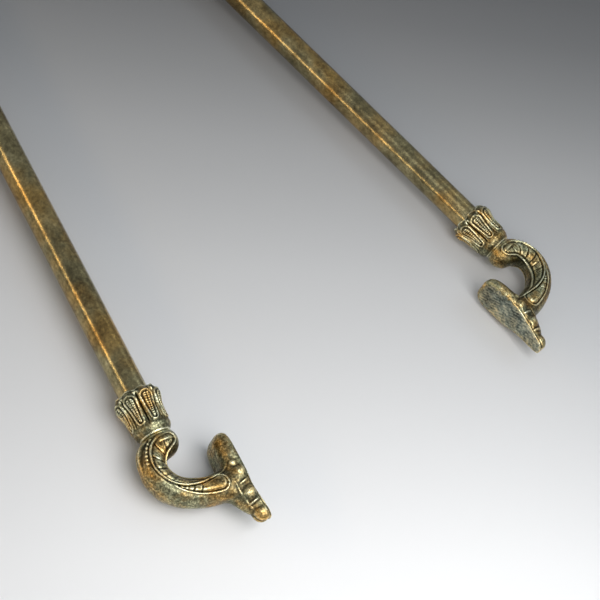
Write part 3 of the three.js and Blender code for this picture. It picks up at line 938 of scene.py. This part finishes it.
def knuckle_mesh():
    """A hinge leaf: a flat disc on the rivet, and a shoulder that climbs out to the rod's axis."""
    along, out, up = grid(*KNUCKLE_BOX, HINGE_STEP)
    s, phi, _, size, bar = sweep(KNUCKLE, along, out, up, 2.3)
    bar = bar - carving_of(bar, knuckle_work, s, phi, size) * ease(along, 9, 14)
    reach = np.sqrt(along ** 2 + out ** 2)
    flat = np.abs(up - LEAF_MIDDLE) - LEAF_HALF
    bar = np.maximum(bar, np.minimum(CLEAR_OF_FORK - reach, flat))
    disc = -smooth_min(LEAF_RADIUS - reach, -flat, 0.5)
    bore = STUD_BORE - np.sqrt((out - arm_offset) ** 2 + up ** 2)
    body = cut(np.minimum(bar, disc), PIN_BORE - reach, along - KNUCKLE_END,
               np.minimum(bore, along - KNUCKLE_BORE_FROM))
    points, quads = casting(body, KNUCKLE_BOX[0], HINGE_STEP)
    points = points * (1, -1, -1) + (-rim_u, arm_offset, 0)
    return points, quads, relief(points, quads, 9)


def yoke_work(s, phi, size):
    leaf = ease(s, 12, 14) * acanthus(s, phi, size, YOKE_LEAF) * (1 - ease(s, 22.5, 24))
    return leaf + bead_ring(s, phi, 25.0, 24) * ease(s, 21, 23)


def yoke_mesh():
    """The fork: two cheeks with the leaves' slot between them, tapering back to its collar.

    Here u runs away from the jaws.
    """
    u, n, w = grid(*YOKE_BOX, HINGE_STEP)
    s, phi, _, size, neck = sweep(YOKE, u, n, w, 2.7)
    neck = neck - carving_of(neck, yoke_work, s, phi, size)
    reach = np.sqrt(u ** 2 + n ** 2)
    rope = beads_round(np.arctan2(n, u) + 0.35 * reach, 40)
    top = -0.3 * bump(reach - 9.75, 0.3) + (0.16 * rope - 0.12) * ease(reach, 10.0, 10.4)
    cheeks = -smooth_min(CHEEK_RADIUS - reach, CHEEK_TOP + top - w, 0.9)
    slot_end = np.where(u < 0, 9, SLOT_RADIUS - reach)
    bore = STUD_BORE - np.sqrt(n ** 2 + w ** 2)
    body = cut(smooth_min(neck, cheeks, 0.6), w - CHEEK_TOP - 0.1, np.minimum(CHEEK_UNDER - w, slot_end),
               PIN_BORE - reach, u - YOKE_END, np.minimum(bore, u - YOKE_BORE_FROM))
    points, quads = casting(body, YOKE_BOX[0], HINGE_STEP)
    return points, quads, relief(points, quads, 9)


# ---- the pieces
BACK, LEFT, UP = np.diag([-1.0, 1.0, 1.0])
METALS = {"cast_brass": cast_brass, "rod_brass": rod_brass, "steel": steel}


def add_piece(name, body, node, shape, place, slot="cast_brass"):
    """Puts a made shape (points, faces, proud) in the row frame, instead of a CAD node, on its body."""
    points, faces, proud = shape
    obj = make_mesh(name, points, faces, place, proud)
    obj.data.materials.append(METALS[slot])
    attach(obj, body)
    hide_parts(node)
    return obj


def axis_of(body):
    """A point on the centre line of a body's bar, its direction and the direction square to it."""
    if body == "handle":
        return centre, -BACK, LEFT
    side = body.removesuffix("_arm")
    return middle_of[side], along_of[side], inward_of[side]


def add_collar(node, body, towards, roll):
    """towards is 1 where the collar's base is nearer the jaws than its mouth, or else -1."""
    middle, along, inward = axis_of(body)
    start, end = span_along(node, middle, along)
    base = end if towards > 0 else start
    mouth = middle + along * (base - towards * COLLAR_LENGTH * MM)
    add_piece(node.replace("collar", "tulip_collar"), body, node, collar_mesh(roll),
              place_matrix(mouth, along * towards, inward))


def add_bar(node, body, name):
    middle, along, inward = axis_of(body)
    start, end = span_along(node, middle, along)
    place = place_matrix(middle + along * start, along, inward)
    add_piece(name, body, node, bar_mesh((end - start) / MM), place, "rod_brass")


def add_handle():
    add_collar("yoke_collar", "handle", 1, 22.5)
    add_bar("handle_shaft", "handle", "handle_bar")
    add_collar("grip_collar", "handle", -1, 0)
    add_piece("hinge_fork", "handle", "hinge_yoke", yoke_mesh(), place_matrix(centre, BACK, LEFT))
    for node, name, shape in (("grip", "fluted_grip", grip_mesh()),
                              ("finial_ring", "roped_ring", finial_ring_mesh()),
                              ("finial", "bud_finial", finial_mesh())):
        start = Vector((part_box(node)[1].x, 0, centre[2]))
        add_piece(name, "handle", node, shape, place_matrix(start, BACK, LEFT))
    rosette = rosette_mesh()
    for node, face, outward in (("upper_rosette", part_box("upper_rosette")[0].z, UP),
                                ("lower_rosette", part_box("lower_rosette")[1].z, -UP)):
        place = place_matrix((centre[0], centre[1], face), outward, LEFT)
        add_piece(node.replace("rosette", "petal_rosette"), "handle", node, rosette, place)
    place = place_matrix(centre, UP, LEFT)
    add_piece("peened_rivet", "handle", "hinge_rivet", rivet_mesh(), place, "steel")


def add_arms():
    points, quads, proud, is_face = jaw_mesh()
    shapes = {"left": (points * (1, 1, -1), quads[:, ::-1], proud), "right": (points, quads, proud)}
    knuckle = knuckle_mesh()
    for side, lower_roll, upper_roll in (("left", 150.0, 10.0), ("right", 0.0, 30.0)):
        body = side + "_arm"
        place = place_matrix(mouth_of[side], along_of[side], inward_of[side])
        scroll = add_piece(side + "_jaw_scroll", body, side + "_jaw", shapes[side], place)
        scroll.data.materials.append(worn_face)
        scroll.data.polygons.foreach_set("material_index", is_face.astype(np.int32))
        add_collar(side + "_lower_collar", body, 1, lower_roll)
        add_collar(side + "_upper_collar", body, -1, upper_roll)
        add_bar(side + "_rod", body, side + "_bar")
        add_piece(side + "_hinge_shoulder", body, side + "_hinge_leaf", knuckle, place)


add_arms()
add_handle()
for node in frame["nodes"].values():
    if not node.hide_render:
        node.data.materials.clear()
        node.data.materials.append(steel)


# ---- floor, lights and camera
def aim(obj, place, target, roll=0.0):
    """Puts a camera or a light at a place, looking at the target, and rolls it anticlockwise."""
    back = (place - target).normalized()
    right = Vector((0, 0, 1)).cross(back)
    right = (right if right.length > 1e-4 else Vector((1, 0, 0))).normalized()
    right = right * math.cos(roll) + back.cross(right) * math.sin(roll)
    obj.matrix_world = place_matrix(place, right, back.cross(right))


def from_target(target, azimuth, elevation, distance):
    """A place round a target. Azimuth 0 is on its -Y side, and turns towards +X."""
    az, el = math.radians(azimuth), math.radians(elevation)
    step = Vector((math.sin(az) * math.cos(el), -math.cos(az) * math.cos(el), math.sin(el)))
    return target + step * distance


def area_light(name, size, power, colour=(1, 1, 1), spread=180):
    light = bpy.data.lights.new(name, "AREA")
    light.shape = "RECTANGLE"
    light.size, light.size_y = size
    light.energy = power
    light.color = colour
    light.spread = math.radians(spread)
    return add_object(name, light)


mouths_middle = Vector((mouth_of["left"] + mouth_of["right"]) / 2)
focus = mouths_middle + Vector((-2.8, -4.5, 0.1)) * MM

LENS, SENSOR_WIDTH = 108, 36  # mm
CAMERA_AT = (21.41, 51.53, 0.617)  # azimuth, elevation, distance from the focus in metres
CAMERA_ROLL = 35.50

camera = add_object("camera", bpy.data.cameras.new("camera"))
camera.data.lens = LENS
camera.data.sensor_width = SENSOR_WIDTH
camera.data.clip_start = 0.01
aim(camera, from_target(focus, *CAMERA_AT), focus, math.radians(CAMERA_ROLL))
bpy.context.scene.camera = camera

bpy.context.scene.view_settings.view_transform = "Standard"

world = bpy.data.worlds.new("studio")
bpy.context.scene.world = world
world.use_nodes = True
backdrop = world.node_tree.nodes["Background"]
backdrop.inputs["Color"].default_value = (0.9, 0.95, 1.0, 1)
backdrop.inputs["Strength"].default_value = 0.30

for name, at, size, power, colour in (
        ("strip_low", (-25, 20, 1.0), (1.2, 0.08), 1.7, (1.0, 0.76, 0.46)),
        ("back_fill", (170, 46, 1.0), (0.6, 0.35), 0.8, (0.84, 0.95, 1.0)),
        ("overhead", (20, 78, 1.1), (0.5, 0.5), 0.55, (0.95, 0.98, 1.0))):
    aim(area_light(name, size, power, colour), from_target(focus, *at), focus)

for name, place, power, spread in (
        ("floor_wash", mouths_middle + Vector((0.215, -0.085, 0.25)), 0.80, 150),
        ("handle_wash", Vector((-0.16, 0.0, 0.42)), 0.32, 60)):
    aim(area_light(name, (0.30, 0.30), power, spread=spread), place, place - Vector((0, 0, 1)))


# Painted shade on the floor: along BRIGHTER_TOWARDS the paper's tone falls from nearly white in front of
# the jaws to darkest in a band under the arms, then lifts a little beyond.
BRIGHTER_TOWARDS = (0.866, -0.520, 0)
GRADED_BETWEEN = -0.25, 0.40  # metres that way from the origin
FLOOR_PAINTED_SHADE = [(0.0, 0.50), (0.25, 0.40), (0.50, 0.25), (0.56, 0.20), (0.60, 0.22), (0.64, 0.27),
               (0.695, 0.38), (0.745, 0.50), (0.83, 0.64), (1.0, 0.78)]
FLOOR_HALF = 3.0


def floor_with_painted_shade():
    """Matt paper with painted shade in its colour: nearly white in front of the jaws and greyer under the
    arms.
    """
    material, tree, shader = tree_of("floor_paper_with_painted_shade")
    towards = tree.nodes.new("ShaderNodeVectorMath")
    towards.operation = "DOT_PRODUCT"
    towards.inputs[1].default_value = BRIGHTER_TOWARDS
    tree.links.new(tree.nodes.new("ShaderNodeTexCoord").outputs["Object"], towards.inputs[0])
    share = range_node(tree, towards.outputs["Value"], *GRADED_BETWEEN)
    stops = [(place, (tone, tone, tone + 0.005)) for place, tone in FLOOR_PAINTED_SHADE]
    tree.links.new(ramp_node(tree, share, stops), shader.inputs["Base Color"])
    shader.inputs["Roughness"].default_value = 0.85
    return material


corners = np.array([(-1, -1, 0), (1, -1, 0), (1, 1, 0), (-1, 1, 0)]) * FLOOR_HALF / MM
floor = make_mesh("floor", corners, np.array([(0, 1, 2, 3)]))
floor.data.materials.append(floor_with_painted_shade())
